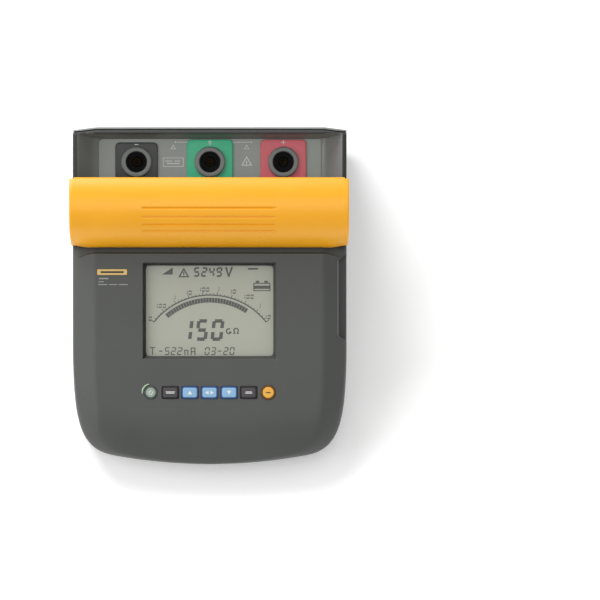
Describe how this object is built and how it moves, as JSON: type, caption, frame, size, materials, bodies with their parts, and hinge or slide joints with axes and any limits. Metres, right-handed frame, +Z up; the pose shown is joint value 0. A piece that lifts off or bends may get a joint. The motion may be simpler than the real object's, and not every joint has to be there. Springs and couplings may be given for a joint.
{
  "type": "insulation resistance tester",
  "caption": "Bench insulation resistance tester: wedge case with tilted display face, key row, bridge handle and a well of shrouded high-voltage sockets.",
  "frame": {"origin": "centre of the bounding box's bottom face, on the surface that the rubber feet stand on", "axes": "+Z up, -Y towards the user and the low end of the face, +X to the user's right"},
  "size_m": [0.242, 0.33, 0.1696],
  "materials": {
    "case_grey": "fine moulded texture, satin",
    "handle_yellow": "smooth moulded, satin gloss",
    "grip_rubber": "matt moulded elastomer",
    "foot_rubber": "matt",
    "panel_grey": "satin",
    "surround_black": "satin",
    "surround_green": "satin",
    "surround_red": "satin",
    "contact_brass": "turned",
    "screw_steel": "zinc plated",
    "window_clear": "clear polycarbonate, hard coated",
    "lcd_glass": "liquid crystal glass with polariser",
    "light_guide": "milky acrylic",
    "inner_black": "moulded",
    "ir_filter": "polished dark filter",
    "circuit_green": "solder mask on glass-fibre laminate",
    "key_dark": "matt silicone",
    "key_blue": "matt silicone",
    "key_pale": "matt silicone",
    "key_yellow": "matt silicone",
    "guard_green": "satin",
    "badge_gold": "printed plate",
    "battery_case": "moulded ABS",
    "zinc_steel": "zinc-plated sheet",
    "winding_tape": "polyester tape",
    "capacitor_sleeve": "shrink sleeve"
  },
  "bodies": {
    "case": {"front_housing": "case_grey", "rear_housing": "case_grey", "carry_handle": "handle_yellow", "handle_liner": "grip_rubber", "housing_seal": "grip_rubber", "keypad_mat": "grip_rubber", "foot_1": "foot_rubber", "foot_2": "foot_rubber", "foot_3": "foot_rubber", "foot_4": "foot_rubber", "terminal_panel": "panel_grey", "socket_barrel_black": "panel_grey", "socket_barrel_green": "panel_grey", "socket_barrel_red": "panel_grey", "socket_bezel_black": "surround_black", "socket_bezel_green": "surround_green", "socket_bezel_red": "surround_red", "socket_contact_black": "contact_brass", "socket_contact_green": "contact_brass", "socket_contact_red": "contact_brass", "board_screw_1": "screw_steel", "board_screw_2": "screw_steel", "board_screw_3": "screw_steel", "board_screw_4": "screw_steel", "housing_screw_1": "screw_steel", "housing_screw_2": "screw_steel", "housing_screw_3": "screw_steel", "housing_screw_4": "screw_steel", "housing_screw_5": "screw_steel", "housing_screw_6": "screw_steel", "handle_screw_1": "screw_steel", "handle_screw_2": "screw_steel", "handle_screw_3": "screw_steel", "handle_screw_4": "screw_steel", "display_window": "window_clear", "lcd_panel": "lcd_glass", "lcd_backlight": "light_guide", "display_frame": "inner_black", "hv_module": "inner_black", "beeper": "inner_black", "mains_inlet": "inner_black", "ir_window": "ir_filter", "display_board": "circuit_green", "key_board": "circuit_green", "main_board": "circuit_green", "power_key_guard": "guard_green", "badge_plate": "badge_gold", "battery": "battery_case", "battery_bracket": "zinc_steel", "hv_transformer": "winding_tape", "hv_capacitor": "capacitor_sleeve"},
    "key_power_cap": {"key_power": "key_pale"},
    "key_function_cap": {"key_function": "key_dark"},
    "key_up_cap": {"key_up": "key_blue"},
    "key_left_right_cap": {"key_left_right": "key_blue"},
    "key_down_cap": {"key_down": "key_blue"},
    "key_info_cap": {"key_info": "key_dark"},
    "key_test_cap": {"key_test": "key_yellow"}
  },
  "joints": [
    {"name": "power_press", "type": "slide", "parent": "case", "child": "key_power_cap", "axis": [0, 0.4617, -0.887], "range_m": [0, 0.0012], "stiffness_N_per_m": 400},
    {"name": "function_press", "type": "slide", "parent": "case", "child": "key_function_cap", "axis": [0, 0.4617, -0.887], "range_m": [0, 0.0012], "stiffness_N_per_m": 400},
    {"name": "up_press", "type": "slide", "parent": "case", "child": "key_up_cap", "axis": [0, 0.4617, -0.887], "range_m": [0, 0.0012], "stiffness_N_per_m": 400},
    {"name": "left_right_press", "type": "slide", "parent": "case", "child": "key_left_right_cap", "axis": [0, 0.4617, -0.887], "range_m": [0, 0.0012], "stiffness_N_per_m": 400},
    {"name": "down_press", "type": "slide", "parent": "case", "child": "key_down_cap", "axis": [0, 0.4617, -0.887], "range_m": [0, 0.0012], "stiffness_N_per_m": 400},
    {"name": "info_press", "type": "slide", "parent": "case", "child": "key_info_cap", "axis": [0, 0.4617, -0.887], "range_m": [0, 0.0012], "stiffness_N_per_m": 400},
    {"name": "test_press", "type": "slide", "parent": "case", "child": "key_test_cap", "axis": [0, 0.4617, -0.887], "range_m": [0, 0.0012], "stiffness_N_per_m": 400}
  ]
}
